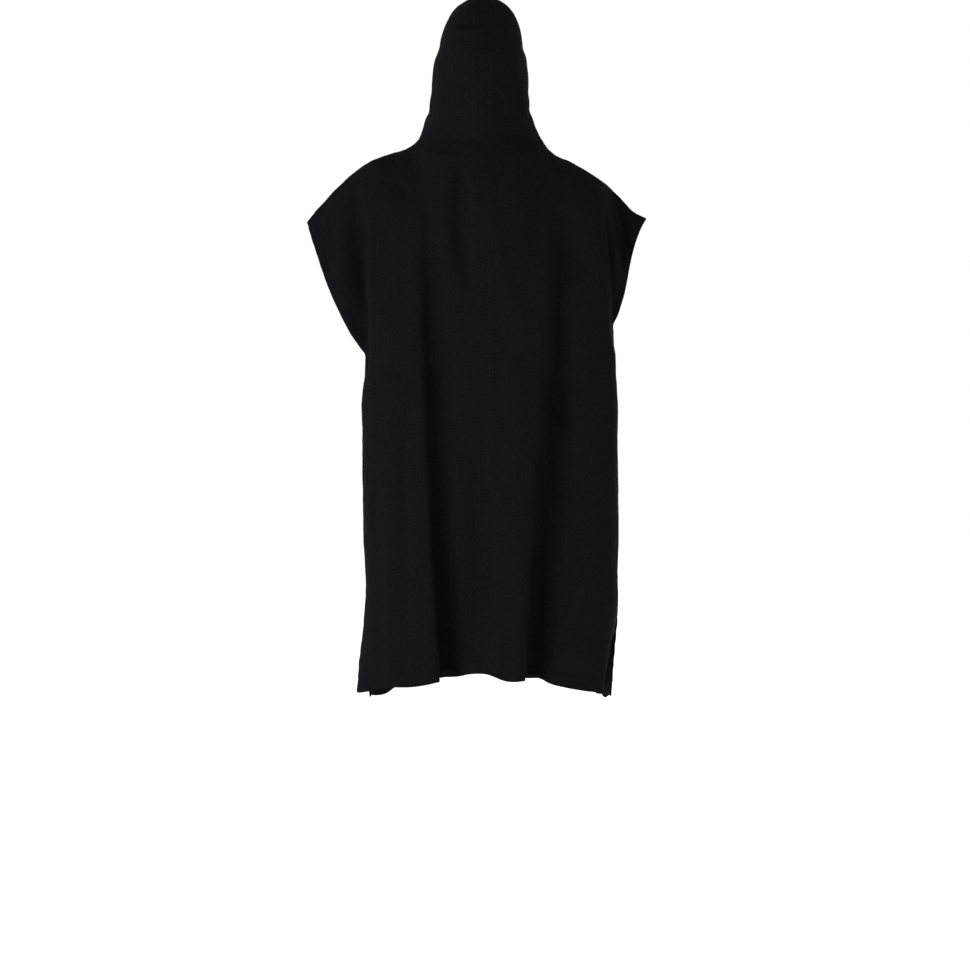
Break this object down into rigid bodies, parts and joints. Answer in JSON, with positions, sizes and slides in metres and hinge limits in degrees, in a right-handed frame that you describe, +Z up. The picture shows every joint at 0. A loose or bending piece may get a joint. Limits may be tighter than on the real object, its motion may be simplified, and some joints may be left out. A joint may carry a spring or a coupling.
{
  "type": "hooded bath poncho",
  "caption": "Loose hooded towelling poncho with cap sleeves and side vents, hanging as worn with the hood up.",
  "frame": {"origin": "on the axis of the wearer's neck, at the height where the garment rests on the shoulders", "axes": "+Z up, the front of the garment faces -Y, +X is the wearer's left"},
  "size_m": [0.6464, 0.2755, 1.3384],
  "materials": {
    "terry": "matte black looped cotton terry"
  },
  "bodies": {
    "root": {"back_panel": "terry", "front_panel": "terry", "hood_left": "terry", "hood_right": "terry"}
  },
  "joints": []
}
